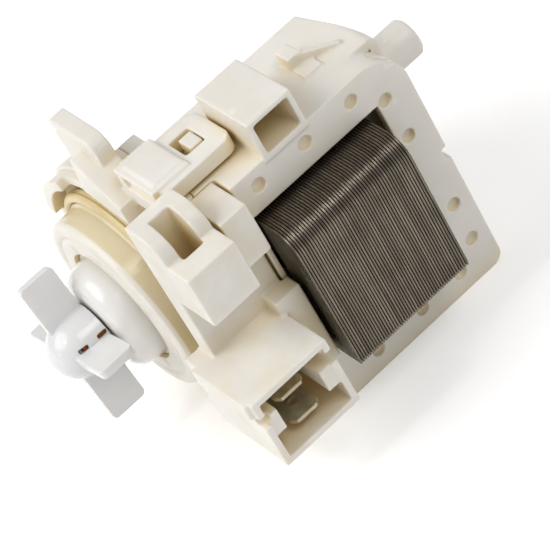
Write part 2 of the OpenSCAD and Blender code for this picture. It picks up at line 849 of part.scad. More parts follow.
module plug_carrier() color("ivory") {
    z0 = plug_top - plug_h;
    stop_y = wall_y - stop_w;
    shoulder_h = 3;
    collar = 1;
    collar_h = 3.4;
    slot_h = 2.6;
    slot_floor = 2;
    tip_w = 5;
    difference() {
        union() {
            block([carrier_x, hook_y, z0], [carrier_x + carrier_t, wall_y, hook_low]);
            slab_y(hook_y, hook_y + hook_w) hook_profile();
            block([carrier_x, stop_y, hook_bottom], [stop_right, stop_y + stop_w, hook_low]);
            block([carrier_x + cut, plug_y, z0], [plug_right, plug_back, plug_top]);
            block([neck_right - 3, plug_y, z0], [carrier_x + 2, plug_y + 4, plug_top]);
            block([carrier_x, plug_back - cut, z0], [wall_right, wall_y, plug_top + shoulder_h]);
            block([case_right + seat, plug_back - cut, z0],
                [wall_right, opening_y - seat, plug_top + shoulder_h]);
            block([carrier_x + 3, plug_y - collar, plug_top - collar_h],
                [plug_right - collar, plug_back, plug_top]);
        }
        block([carrier_x + 3, hook_y + (hook_w - hook_slot) / 2, hook_bottom + slot_floor],
            [hook_right - tip_w, hook_y + (hook_w + hook_slot) / 2, hook_top + cut]);
        difference() {
            block([plug_right - plug_depth, plug_y + plug_wall, z0 + plug_wall],
                [plug_right + cut, plug_back - plug_wall, plug_top - plug_wall]);
            ledges();
        }
        block([plug_right - 4, plug_back - plug_wall - cut, key_top],
            [plug_right + cut, plug_back + cut, key_top + slot_h]);
        block([plug_right - 2.6, plug_y - 2 * cut, key_top - cut],
            [plug_right + cut, plug_y + plug_wall + cut, key_top + slot_h - cut]);
        for (z = [tab_mid_z - tab_pitch / 2, tab_mid_z + tab_pitch / 2])
            block([carrier_x - cut, plug_mid_y - tab_w / 2, z - tab_t / 2],
                [plug_right - plug_depth + cut, plug_mid_y + tab_w / 2, z + tab_t / 2]);
        block([carrier_x - 4, plug_y - cut, z0 - cut],
            [neck_right + seat - 0.05, flange_back + seat, hook_top + cut]);
        rod_y(flange_r + seat, flange_y - finger_len - seat, flange_back + seat);
    }
}

module terminal_at(z, back) color("#8f8878") {
    tip = plug_right - plug_depth + tab_len - back;
    root = carrier_x + 0.2;
    half = tab_w / 2;
    bevel_len = 1.2;
    bevel_w = 0.9;
    hole_back = 4.4;
    translate([0, plug_mid_y, z - tab_t / 2]) linear_extrude(tab_t) difference() {
        polygon([
            [root, -half], [tip - bevel_len, -half], [tip, bevel_w - half], [tip, half - bevel_w],
            [tip - bevel_len, half], [root, half]
        ]);
        translate([tip - hole_back, 0]) circle(tab_hole_r);
    }
}

module upper_terminal() terminal_at(tab_mid_z + tab_pitch / 2, tab_step);
module lower_terminal() terminal_at(tab_mid_z - tab_pitch / 2, 0);

pump_head();
seal_ring();
bearing_boss();
impeller();
impeller_insert();
shaft();
drive_claw();
rotor_carrier();
rotor_magnet();
front_bearing();
rear_bearing();
front_bearing_mount();
rear_bearing_mount();
front_thrust_washer();
rear_thrust_washer();
core_stack();
upper_bobbin();
lower_bobbin();
upper_winding();
lower_winding();
motor_housing();
plug_carrier();
upper_terminal();
lower_terminal();
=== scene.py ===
"""Looks for a washer drain pump: soft moulded edges, aged plastics, steel and dull terminals."""

import math

import bmesh
import bpy
import numpy as np
from bpy.props import FloatProperty, FloatVectorProperty, IntProperty, PointerProperty
from mathutils import Matrix, Vector


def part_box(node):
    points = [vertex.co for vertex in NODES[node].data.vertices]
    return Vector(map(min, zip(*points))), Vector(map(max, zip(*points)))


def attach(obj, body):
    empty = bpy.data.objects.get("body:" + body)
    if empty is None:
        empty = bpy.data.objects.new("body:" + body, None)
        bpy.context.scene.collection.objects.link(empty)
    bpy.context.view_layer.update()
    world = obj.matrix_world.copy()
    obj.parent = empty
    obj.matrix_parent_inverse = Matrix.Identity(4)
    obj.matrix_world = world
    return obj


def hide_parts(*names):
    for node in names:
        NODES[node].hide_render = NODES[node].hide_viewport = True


bl_info = {
    "name": "Drain pump looks",
    "version": (1, 0, 0),
    "blender": (4, 5, 0),
    "location": "View3D > Sidebar > Drain pump",
    "description": "Dresses the drain pump's solids with soft edges, marks and materials",
    "category": "Object",
}

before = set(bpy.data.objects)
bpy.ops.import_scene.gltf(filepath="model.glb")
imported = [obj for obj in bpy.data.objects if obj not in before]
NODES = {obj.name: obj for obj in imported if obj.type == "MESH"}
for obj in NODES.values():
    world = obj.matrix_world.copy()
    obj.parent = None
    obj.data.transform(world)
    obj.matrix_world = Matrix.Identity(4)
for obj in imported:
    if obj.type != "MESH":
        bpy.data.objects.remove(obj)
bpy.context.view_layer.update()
MM = 0.001

# Stations along the pump axis and radii about it, in millimetres, as the solids have them
SPIGOT_FRONT, SPIGOT_BACK, SPIGOT_R = -2.0, 3.0, 18.5
SEAT_R, MOUTH_R = 19.0, 11.9
FINGER_FRONT, FINGER_R = 2.5, 24.8
FLANGE_FRONT, FLANGE_BACK, FLANGE_R = 6.0, 9.0, 25.6
STACK_FRONT, SHEET_PITCH = 18.2, 0.545
DOME_CENTRE, HUB_BACK, HUB_R = -12.0, -7.0, 6.0
REAR_FACE, FLOOR = 54.4, -26.5

# The glossy band on the spigot: where it begins and is full along the axis, from the front and
# from the back, and by radius, from the inside and from the outside
BAND_FRONT, BAND_BACK = (-1.1, -0.5), (6.2, 5.4)
BAND_INSIDE, BAND_OUTSIDE = (17.2, 18.0), (22.4, 21.6)

# How far apart the winding's turns are drawn, in millimetres
TURN_PITCH = 0.28274

# The grid and how often it is smoothed where a part is thinner than the moulded bodies
BLADE_GRID, BLADE_PASSES = 0.16, 7
TERMINAL_GRID, TERMINAL_PASSES = 0.12, 3

# How near to a stated cylinder or dome a point of the grid is pulled onto it, how near it then has
# to be to get the cylinder's true normal, and how far its own normal has to lean that way
PULL_MM, DOME_PULL_MM, NORMAL_MM, LEAN = 0.16, 0.14, 0.03, 0.5

# The ejector rings: the circle of those on the spigot's rim, and how thick a ring is drawn
RING_CIRCLE, RING_WIDTH = 13.2, 0.12

# The floor's half width in metres, the lamps behind and near as shares of the main lamp's power,
# and the near lamp's width in metres
FLOOR_HALF, RIM_SHARE, SPARK_SHARE, SPARK_SIZE = 2.5, 0.32, 0.13, 0.09

# The photograph's width, and the focal length that its edges give, in its pixels
PHOTO_PX, FOCAL_PX = 550, 3200.0
SENSOR_MM = 36.0


def linear(code):
    """Turns an sRGB hex value into the linear colour that a shader socket takes."""
    parts = [int(code[i : i + 2], 16) / 255 for i in (1, 3, 5)]
    return [c / 12.92 if c <= 0.04045 else ((c + 0.055) / 1.055) ** 2.4 for c in parts] + [1.0]


def add(tree, kind, inputs=None, output=0, **settings):
    """Adds a node, gives it settings, sets or links its inputs by name or number, and gives back
    one of its outputs."""
    made = tree.nodes.new("ShaderNode" + kind)
    for name, value in settings.items():
        setattr(made, name, value)
    for name, value in (inputs or {}).items():
        if isinstance(value, bpy.types.NodeSocket):
            tree.links.new(value, made.inputs[name])
        else:
            made.inputs[name].default_value = value
    return made.outputs[output] if len(made.outputs) else None


def new_material(name):
    """An empty material, its nodes, and the place on the part in millimetres."""
    made = bpy.data.materials.new(name)
    made.use_nodes = True
    tree = made.node_tree
    tree.nodes.clear()
    metres = add(tree, "TexCoord", output="Object")
    place = add(tree, "VectorMath", {0: metres, "Scale": 1 / MM}, operation="SCALE")
    return made, tree, place


def finished(made, colour, normal, roughness, **constants):
    """Gives a material its main shader. What changes over the surface is linked; the constants,
    named with _ for a space, are set on the shader's own sockets."""
    inputs = {"Base Color": colour, "Normal": normal, "Roughness": roughness}
    inputs.update({name.replace("_", " "): value for name, value in constants.items()})
    surface = add(made.node_tree, "BsdfPrincipled", inputs)
    add(made.node_tree, "OutputMaterial", {"Surface": surface})
    return made


def inside(tree, share, ranges):
    """How far every one of some values is in its range, up to a share. A range is the value, where
    on it the range begins and where it is full."""
    for value, start, full in ranges:
        inputs = {"Value": value, "From Min": start, "From Max": full, "To Max": share}
        share = add(tree, "MapRange", inputs, interpolation_type="SMOOTHSTEP")
    return share


def layered(tree, colour, *layers):
    """Lays colours over a first one. A layer is its colour, its share, and the ranges that it
    keeps to, if it has any."""
    for tint, share, *ranges in layers:
        inputs = {0: inside(tree, share, ranges), 6: colour, 7: tint}
        colour = add(tree, "Mix", inputs, 2, data_type="RGBA")
    return colour


def relief(tree, *heights):
    """A surface normal from heights laid over each other. Each is a value, its depth in
    millimetres and its strength."""
    inputs = {}
    for height, depth_mm, strength in heights:
        inputs.update({"Height": height, "Distance": depth_mm * MM, "Strength": strength})
        inputs["Normal"] = add(tree, "Bump", inputs)
    return inputs["Normal"]


def seen_by(tree, *rays):
    """One for the named kinds of ray, and nothing for the others."""
    seen = 0.0
    for ray in rays:
        path = add(tree, "LightPath", output=ray)
        seen = add(tree, "Math", {0: seen, 1: path}, operation="MAXIMUM")
    return seen


def aged_polypropylene(name, seed, looks, band=False, cast=0.3):
    """Injection-moulded polypropylene, turned yellow where dirt and steam stay: pale and satin on
    the open faces with a painted highlight along the edges' crests, straw brown in the recesses,
    partly as real age and partly as painted shade that is browner where they are deep or narrow,
    and with small brown nicks on the edges. The seed moves the pattern, the cast is the share of
    yellow clouds, and the band is the spigot's glossy one."""
    made, tree, place = new_material(name)
    shift = (seed * 31.0, seed * 17.0, 5.0)
    drift = add(tree, "VectorMath", {0: place, 1: shift}, operation="ADD")
    # Lumps from patches the width of a thumb to the mould's fine grain, by size in millimetres
    patches, clouds, nicks, spots, specks, grain, waves = (
        add(tree, "TexNoise", {"Vector": drift, "Scale": 1 / size_mm, "Detail": detail})
        for size_mm, detail in (
            (16, 3), (5, 3), (0.9, 2), (7, 1), (0.45, 0), (0.35, 2), (6, 1),
        )
    )
    shut, tight = (
        add(tree, "AmbientOcclusion", {"Distance": reach_mm * MM}, "AO", samples=samples)
        for reach_mm, samples in ((9, 8), (2.2, 6))
    )
    crest = add(tree, "NewGeometry", output="Pointiness")
    aged = layered(
        tree, looks.moulding,
        (linear("#E9E6E0"), 1.0, (patches, 0.38, 0.72)),
        (linear("#DDD3BC"), cast, (clouds, 0.3, 0.8)),
        # The recesses turn yellow, partly from real age and partly as painted shade, and painted
        # shade makes them browner where they are deep or narrow
        (looks.yellowed_and_shaded, looks.yellowing_and_shade, (shut, 0.9, 0.15)),
        (linear("#D8BC80"), 0.35, (shut, 0.3, 0.0)),
        (linear("#B0935C"), 0.12, (tight, 0.5, 0.1)),
        # A painted highlight makes the edges a little paler along their crest, and there are small
        # brown nicks here and there
        (linear("#F6F1E4"), 0.35, (crest, 0.53, 0.6)),
        (linear("#7A6246"), 0.8, (crest, 0.53, 0.6), (spots, 0.52, 0.62), (nicks, 0.66, 0.72)),
        (linear("#A08C66"), 0.2, (specks, 0.84, 0.9)),
    )
    rough = add(
        tree, "MapRange",
        {"Value": inside(tree, 1.0, [(clouds, 0.3, 0.8)]), "To Min": 0.34, "To Max": 0.46},
    )
    if band:
        along = add(tree, "SeparateXYZ", {0: place}, "Y")
        across = add(tree, "VectorMath", {0: place, 1: (1.0, 0.0, 1.0)}, operation="MULTIPLY")
        radius = add(tree, "VectorMath", {0: across}, "Value", operation="LENGTH")
        wet = inside(tree, 1.0, [
            (radius, *BAND_INSIDE), (along, *BAND_FRONT), (along, *BAND_BACK),
            (radius, *BAND_OUTSIDE),
        ])
        cover = add(tree, "Math", {0: wet, 1: 0.85}, operation="MULTIPLY")
        aged = layered(tree, aged, (linear("#DDD0AC"), cover))
        rough = add(tree, "MapRange", {"Value": wet, "To Min": 0.42, "To Max": 0.16})
    # The mould's fine grain, under a slow waviness that softens the highlights
    normal = relief(tree, (grain, 0.012, 0.7), (waves, 0.06, 0.6))
    return finished(
        made, aged, normal, rough, IOR=1.49, Subsurface_Weight=0.25,
        Subsurface_Scale=2.0 * MM, Subsurface_Radius=(1.0, 0.8, 0.5),
    )


def polished_acetal(name, tint, second_tint, shadow_tint, scuffs=0.3):
    """Injection-moulded acetal: cool white, dense and glossy, and a little see-through."""
    made, tree, place = new_material(name)
    clouds, scratches, waves = (
        add(tree, "TexNoise", {"Vector": place, "Scale": 1 / size_mm, "Detail": detail})
        for size_mm, detail in ((9, 2), (0.5, 3), (3, 1))
    )
    shut = add(tree, "AmbientOcclusion", {"Distance": 5 * MM}, "AO", samples=6)
    crest = add(tree, "NewGeometry", output="Pointiness")
    body = layered(
        tree, tint,
        (linear(second_tint), 1.0, (clouds, 0.35, 0.75)),
        (linear(shadow_tint), 1.0, (shut, 0.7, 0.1)),
        # A painted highlight makes the edges paler along their crest
        (linear("#F6F7F7"), 0.45, (crest, 0.53, 0.6)),
    )
    scuffed = inside(tree, scuffs, [(scratches, 0.55, 0.75)])
    rough = add(tree, "MapRange", {"Value": scuffed, "To Min": 0.12, "To Max": 0.36})
    return finished(
        made, body, relief(tree, (waves, 0.02, 0.5)), rough, IOR=1.48, Subsurface_Weight=0.15,
        Subsurface_Scale=1.5 * MM, Coat_Weight=0.15, Coat_Roughness=0.12,
    )


def cut_core_steel(name):
    """Punched electrical steel sheets in a stack: brown-black oiled cut edges, each sheet with its
    own tone and fine punching marks, and a dark joint between two sheets."""
    made, tree, place = new_material(name)
    along = add(tree, "SeparateXYZ", {0: place}, "Y")
    past = add(tree, "Math", {0: along, 1: STACK_FRONT}, operation="SUBTRACT")
    sheet = add(tree, "Math", {0: past, 1: SHEET_PITCH}, operation="DIVIDE")
    number = add(tree, "Math", {0: sheet}, operation="FLOOR")
    within = add(tree, "Math", {0: sheet}, operation="FRACT")
    tone = add(tree, "TexWhiteNoise", {"W": number}, "Value", noise_dimensions="1D")
    punched = add(tree, "VectorMath", {0: place, 1: (1.0, 6.0, 0.12)}, operation="MULTIPLY")
    streaks, oil = (
        add(tree, "TexNoise", {"Vector": where, "Scale": 1 / size_mm, "Detail": 3})
        for where, size_mm in ((punched, 1.1), (place, 8))
    )
    shut = add(tree, "AmbientOcclusion", {"Distance": 0.8 * MM}, "AO", samples=6)
    normal = add(tree, "NewGeometry", output="Normal")
    turned = add(tree, "SeparateXYZ", {0: normal}, "Y")
    facing = add(tree, "Math", {0: turned}, operation="ABSOLUTE")
    body = layered(
        tree, linear("#5A5247"),
        (linear("#7C7265"), tone),
        (linear("#9C9284"), 0.5, (streaks, 0.3, 0.75)),
        (linear("#4A3F31"), 0.4, (oil, 0.45, 0.75)),
        # The dark joint behind each sheet, painted shade in the tight places, and the stack's flat
        # front and back made darker, partly as the sheets' own flat faces and partly as painted
        # shade
        (linear("#14110D"), 1.0, (within, 0.58, 0.68)),
        (linear("#1B1712"), 1.0, (shut, 0.8, 0.15)),
        (linear("#3A342B"), 1.0, (facing, 0.8, 0.95)),
    )
    marks = inside(tree, 1.0, [(streaks, 0.3, 0.75)])
    rough = add(tree, "MapRange", {"Value": marks, "To Min": 0.4, "To Max": 0.26})
    return finished(made, body, relief(tree, (marks, 0.03, 0.6)), rough, Metallic=0.85)


def tinned_brass(name):
    """Stamped brass strip, tinned and tarnished: dull brown grey with soft blotches and bright
    sheared edges."""
    made, tree, place = new_material(name)
    rolled = add(tree, "VectorMath", {0: place, 1: (0.2, 5.0, 1.0)}, operation="MULTIPLY")
    blotches, lines = (
        add(tree, "TexNoise", {"Vector": where, "Scale": 1 / size_mm, "Detail": detail})
        for where, size_mm, detail in ((place, 2.2, 4), (rolled, 0.6, 2))
    )
    crest = add(tree, "NewGeometry", output="Pointiness")
    body = layered(
        tree, linear("#B0A68A"),
        (linear("#C8BEA3"), 1.0, (blotches, 0.35, 0.7)),
        (linear("#D2CAB6"), 1.0, (crest, 0.52, 0.58)),
    )
    dulled = inside(tree, 1.0, [(blotches, 0.35, 0.7)])
    rough = add(tree, "MapRange", {"Value": dulled, "To Min": 0.32, "To Max": 0.5})
    return finished(made, body, relief(tree, (lines, 0.01, 0.5)), rough, Metallic=0.6)


def wound_copper(name):
    """Enamelled copper wire, wound in layers: reddish brown varnish over fine parallel turns. The
    real wire is about 0.2 mm; the turns are drawn TURN_PITCH apart so that they show."""
    made, tree, place = new_material(name)
    turns = add(
        tree, "TexWave", {"Vector": place, "Scale": math.pi / 10 / TURN_PITCH, "Distortion": 0.4},
        "Fac", wave_type="BANDS", bands_direction="X",
    )
    clouds = add(tree, "TexNoise", {"Vector": place, "Scale": 1 / 3, "Detail": 2})
    body = layered(tree, linear("#8E4A24"), (linear("#B56A38"), clouds))
    body = add(tree, "Mix", {0: turns, 6: linear("#4C2410"), 7: body}, 2, data_type="RGBA")
    normal = relief(tree, (turns, 0.15, 0.8))
    return finished(made, body, normal, 0.35, Metallic=0.7, Coat_Weight=0.4)


def plain_finish(name, first, second, size_mm, depth_mm, rough, **constants):
    """A hidden or small part's finish: two close tones in lumps of a stated size over a grain a
    quarter as wide."""
    made, tree, place = new_material(name)
    lumps, grain = (
        add(tree, "TexNoise", {"Vector": place, "Scale": 1 / width_mm, "Detail": detail})
        for width_mm, detail in ((size_mm, 3), (size_mm * 0.25, 2))
    )
    body = layered(tree, first, (linear(second), lumps))
    return finished(made, body, relief(tree, (grain, depth_mm, 0.6)), rough, **constants)


def brushed_steel(name, tint):
    """Ground steel: grey metal with fine rings round the pump axis."""
    made, tree, place = new_material(name)
    rings = add(tree, "VectorMath", {0: place, 1: (0.3, 9.0, 0.3)}, operation="MULTIPLY")
    lines = add(tree, "TexNoise", {"Vector": rings, "Scale": 1 / 0.8, "Detail": 2})
    body = layered(tree, linear(tint), (linear("#B9B9B7"), lines))
    return finished(made, body, relief(tree, (lines, 0.006, 0.6)), 0.28, Metallic=1.0)


def white_floor(name, tone):
    """Pale matt paper: it shows as white to the camera and keeps the pump's soft shadow."""
    made, tree, place = new_material(name)
    clouds = add(tree, "TexNoise", {"Vector": place, "Scale": 1 / 400, "Detail": 1})
    colour = layered(tree, linear("#F7F7F6"), (linear("#F9F9F9"), clouds))
    inputs = {"Base Color": colour, "Roughness": 0.9, "Specular IOR Level": 0.0}
    paper = add(tree, "BsdfPrincipled", inputs)
    seen = seen_by(tree, "Is Camera Ray", "Is Glossy Ray", "Is Transmission Ray")
    lift = add(tree, "Math", {0: seen, 1: tone}, operation="MULTIPLY")
    glow = add(tree, "Emission", {"Color": linear("#FFFFFF"), "Strength": lift})
    both = add(tree, "AddShader", {0: paper, 1: glow})
    add(tree, "OutputMaterial", {"Surface": both})
    return made


def keep(mesh, name, material, body, stands_for=()):
    """Puts a mesh in the scene as a piece that rides on a body and stands for CAD nodes."""
    piece = bpy.data.objects.new(name, mesh)
    bpy.context.scene.collection.objects.link(piece)
    piece.data.materials.clear()
    piece.data.materials.append(material)
    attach(piece, body)
    if stands_for:
        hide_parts(*stands_for)
    return piece


def baked(mesh, modifiers):
    """The mesh after a list of modifiers, as a new mesh."""
    holder = bpy.data.objects.new("holder", mesh)
    bpy.context.scene.collection.objects.link(holder)
    for kind, settings in modifiers:
        made = holder.modifiers.new(kind, kind)
        for name, value in settings.items():
            setattr(made, name, value)
    shown = holder.evaluated_get(bpy.context.evaluated_depsgraph_get())
    result = bpy.data.meshes.new_from_object(shown)
    bpy.data.objects.remove(holder)
    return result


def dress(node, material):
    """Gives a CAD node that keeps its shape its material."""
    NODES[node].data.materials.clear()
    NODES[node].data.materials.append(material)


def welded_copy(node):
    """A copy of a CAD node's mesh with its shared corners joined."""
    copied = bmesh.new()
    copied.from_mesh(NODES[node].data)
    bmesh.ops.remove_doubles(copied, verts=copied.verts, dist=1e-6)
    made = bpy.data.meshes.new(node + "_copy")
    copied.to_mesh(made)
    copied.free()
    return made


def vectors(items, name):
    """The named vector of every item, as rows."""
    values = np.empty(len(items) * 3, np.float32)
    items.foreach_get(name, values)
    return values.reshape(-1, 3)


def on_cylinder(points, radius, start, end, slack):
    """How far each point is from the pump axis, and whether it is on a stated cylinder's wall."""
    reach = np.hypot(points[:, 0], points[:, 2])
    beside = (points[:, 1] > start * MM) & (points[:, 1] < end * MM)
    return reach, beside & (abs(reach - radius * MM) < slack * MM)


def soft_edged(node, grid_mm, passes, rounds=(), share=0.2):
    """The node's shape with its edges and inner corners softened, as a mould gives them. A fine
    even grid is laid over the solid and smoothed, and then its true cylinders, given as radius,
    front and back, and its outer flats are put back."""
    grid = baked(
        welded_copy(node),
        [
            ("REMESH", {"mode": "VOXEL", "voxel_size": grid_mm * MM, "adaptivity": 0.0}),
            ("SMOOTH", {"factor": 0.5, "iterations": passes}),
        ],
    )
    points = vectors(grid.vertices, "co")
    for radius, start, end in rounds:
        reach, near = on_cylinder(points, radius, start, end, PULL_MM)
        pull = radius * MM / reach[near]
        points[near] *= np.stack([pull, np.ones(len(pull)), pull], axis=1)
    low, high = (np.array(v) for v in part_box(node))
    grid.vertices.foreach_set("co", np.clip(points, low, high).astype(np.float32).ravel())
    grid.update()
    made = baked(grid, [("DECIMATE", {"decimate_type": "COLLAPSE", "ratio": share})])
    made.shade_smooth()
    points = vectors(made.vertices, "co")
    normals = vectors(made.vertex_normals, "vector")
    for radius, start, end in rounds:
        reach, near = on_cylinder(points, radius, start, end, NORMAL_MM)
        outward = points * (1, 0, 1) / np.maximum(reach, 1e-9)[:, None]
        lean = (outward * normals).sum(axis=1)
        near &= abs(lean) > LEAN
        normals[near] = outward[near] * np.sign(lean[near])[:, None]
    made.normals_split_custom_set_from_vertices(normals)
    return made


def lathe(points, turns=160):
    """A closed solid turned about the pump axis, from points of (radius, y) in millimetres."""
    made = bmesh.new()
    rings = []
    for i in range(turns):
        a = 2 * math.pi * i / turns
        rings.append([
            made.verts.new((r * MM * math.cos(a), y * MM, r * MM * math.sin(a))) for r, y in points
        ])
    for i in range(turns):
        near, far = rings[i], rings[(i + 1) % turns]
        for j in range(len(points)):
            k = (j + 1) % len(points)
            made.faces.new([near[j], near[k], far[k], far[j]])
    bmesh.ops.remove_doubles(made, verts=made.verts, dist=1e-7)
    bmesh.ops.recalc_face_normals(made, faces=made.faces)
    mesh = bpy.data.meshes.new("lathe")
    made.to_mesh(mesh)
    made.free()
    mesh.shade_smooth()
    return mesh


def rounded_profile(corners, radius, steps=4):
    """A closed outline of (radius, y) corners, each rounded as far as its sides allow."""
    result = []
    count = len(corners)
    for i in range(count):
        here = Vector(corners[i])
        before = Vector(corners[i - 1]) - here
        after = Vector(corners[(i + 1) % count]) - here
        reach = min(radius, before.length * 0.45, after.length * 0.45)
        start = here + before.normalized() * reach
        end = here + after.normalized() * reach
        for s in range(steps + 1):
            t = s / steps
            result.append(tuple(start.lerp(here, t).lerp(here.lerp(end, t), t)))
    return result


def ring_mark(centre, axis, radius, width, material, body, name):
    """The faint raised ring that an ejector pin leaves, half sunk in the face."""
    made = bmesh.new()
    turns, around = 40, 8
    side = axis.orthogonal().normalized()
    other = axis.cross(side)
    rows = []
    for i in range(turns):
        a = 2 * math.pi * i / turns
        out = side * math.cos(a) + other * math.sin(a)
        row = []
        for k in range(around):
            b = 2 * math.pi * k / around
            beside, above = radius + width * math.cos(b), width * 0.5 * math.sin(b)
            row.append(made.verts.new((centre + out * beside + axis * above) * MM))
        rows.append(row)
    for i in range(turns):
        for k in range(around):
            made.faces.new([
                rows[i][k], rows[(i + 1) % turns][k],
                rows[(i + 1) % turns][(k + 1) % around], rows[i][(k + 1) % around],
            ])
    bmesh.ops.recalc_face_normals(made, faces=made.faces)
    mesh = bpy.data.meshes.new(name)
    made.to_mesh(mesh)
    made.free()
    mesh.shade_smooth()
    return keep(mesh, name, material, body)


class PumpLooks(bpy.types.PropertyGroup):
    """What a user would change about the pump's looks."""

    grid: FloatProperty(
        name="Grid", description="Spacing of the fine grid that softens the edges, in mm",
        default=0.23, min=0.2, max=0.8,
    )
    passes: IntProperty(
        name="Softening passes", description="How often the grid is smoothed",
        default=4, min=1, max=20,
    )
    # Share of the recess tint, which is partly the plastic's real yellow of age and partly painted
    # shade
    yellowing_and_shade: FloatProperty(
        name="Yellowing", description="How far the recesses have yellowed",
        default=0.8, min=0.0, max=1.0, subtype="FACTOR",
    )
    moulding: FloatVectorProperty(
        name="Moulding", description="Colour of the clean moulded bodies",
        default=linear("#E4E0D9"), size=4, min=0.0, max=1.0, subtype="COLOR",
    )
    # Colour of the recess tint: partly the real yellow of age, partly painted shade
    yellowed_and_shaded: FloatVectorProperty(
        name="Yellowed moulding", description="Colour of the bodies' yellowed recesses",
        default=linear("#E9D6A6"), size=4, min=0.0, max=1.0, subtype="COLOR",
    )
    seal: FloatVectorProperty(
        name="Seal", description="Colour of the seal ring",
        default=linear("#CDB988"), size=4, min=0.0, max=1.0, subtype="COLOR",
    )
    boss: FloatVectorProperty(
        name="Boss", description="Colour of the bearing boss",
        default=linear("#E6E5E2"), size=4, min=0.0, max=1.0, subtype="COLOR",
    )
    impeller: FloatVectorProperty(
        name="Impeller", description="Colour of the impeller",
        default=linear("#DBDCDD"), size=4, min=0.0, max=1.0, subtype="COLOR",
    )


class StageLooks(bpy.types.PropertyGroup):
    """What a user would change about the stage."""

    floor_height: FloatProperty(
        name="Floor height", description="Height of the floor",
        default=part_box("motor_housing")[0].z, unit="LENGTH",
    )
    floor_glow: FloatProperty(
        name="Floor lift", description="How far the floor is lifted to white",
        default=0.28, min=0.0, max=1.0,
    )
    sky: FloatProperty(
        name="Room light", description="Strength of the even room light",
        default=0.48, min=0.0,
    )
    key: FloatProperty(
        name="Main lamp", description="Power of the large lamp in front",
        default=4.6, min=0.0, unit="POWER",
    )
    key_size: FloatProperty(
        name="Main lamp size", description="Width of the large lamp in front",
        default=0.8, unit="LENGTH",
    )
    rim_size: FloatProperty(
        name="Rim lamp size", description="Width of the smaller lamp behind",
        default=0.4, unit="LENGTH",
    )


class DRAINPUMP_OT_moulded_bodies(bpy.types.Operator):
    """Softens the pump head, the motor housing and the plug carrier in aged plastic"""

    bl_idname = "drainpump.moulded_bodies"
    bl_label = "Moulded bodies"

    def execute(self, context):
        looks = context.scene.drainpump_looks
        # The head's true cylinders, clear of its rounded edges: radius, front and back
        head_rounds = [
            (SPIGOT_R, SPIGOT_FRONT + 1.1, SPIGOT_BACK),
            (SEAT_R, SPIGOT_BACK + 0.5, FLANGE_FRONT),
            (MOUTH_R, SPIGOT_FRONT, 1.0),
            (FINGER_R, FINGER_FRONT, FLANGE_FRONT),
            (FLANGE_R, FLANGE_FRONT, FLANGE_BACK),
        ]
        for node, seed, rounds, band, cast in (
            ("pump_head", 1, head_rounds, True, 0.3),
            ("motor_housing", 2, [], False, 0.25),
            ("plug_carrier", 3, [], False, 0.55),
        ):
            plastic = aged_polypropylene("Moulded_polypropylene_" + node, seed, looks, band, cast)
            mesh = soft_edged(node, looks.grid, looks.passes, rounds)
            keep(mesh, node + "_moulding", plastic, "pump", [node])
        return {"FINISHED"}


class DRAINPUMP_OT_seal(bpy.types.Operator):
    """Makes the seal ring with its two lips"""

    bl_idname = "drainpump.seal"
    bl_label = "Seal ring"

    def execute(self, context):
        looks = context.scene.drainpump_looks
        rubber = plain_finish(
            "Moulded_silicone_rubber", looks.seal, "#DBCB9F", 3, 0.01, 0.3,
            IOR=1.43, Subsurface_Weight=0.2, Subsurface_Scale=1.0 * MM,
        )
        low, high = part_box("seal_ring")
        y0, y1, r1 = low.y / MM, high.y / MM, high.x / MM
        r0 = r1 - 2.0
        outline = [
            (r0, y0 + 0.6), (r0 + 0.6, y0), (r1 - 0.5, y0 + 0.3), (r1, y0 + 1.0),
            (r1 - 0.35, y0 + 1.3), (r1, y1 - 0.6), (r1 - 0.5, y1), (r0, y1),
        ]
        mesh = lathe(rounded_profile(outline, 0.3))
        keep(mesh, "seal_lips", rubber, "pump", ["seal_ring"])
        return {"FINISHED"}


class DRAINPUMP_OT_boss(bpy.types.Operator):
    """Makes the glossy white bearing boss"""

    bl_idname = "drainpump.boss"
    bl_label = "Bearing boss"

    def execute(self, context):
        low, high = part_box("bearing_boss")
        front, back = low.y / MM, high.y / MM
        r = high.x / MM
        # Radii of the shaft's bore, the bearing's cup and the skirt round it, where the cup ends,
        # and the rim that closes the spigot's mouth
        bore, cup, skirt, cup_end = 2.1, 5.3, 10.0, 0.7
        rim_r, rim_front = MOUTH_R - 0.06, SPIGOT_FRONT + 0.8
        outline = [
            (bore, front), (r - 3.4, front), (r - 1.7, front + 0.45), (r - 0.65, front + 1.4),
            (r - 0.12, front + 2.7), (r, front + 4.0), (r, rim_front), (rim_r, rim_front),
            (rim_r, cup_end), (skirt, cup_end), (skirt, back), (cup, back),
            (cup, cup_end), (bore, cup_end),
        ]
        looks = context.scene.drainpump_looks
        white = polished_acetal("Moulded_acetal_boss", looks.boss, "#ECEBE8", "#DAD6CE")
        mesh = lathe(rounded_profile(outline, 0.5))
        keep(mesh, "boss_turned", white, "pump", ["bearing_boss"])
        return {"FINISHED"}


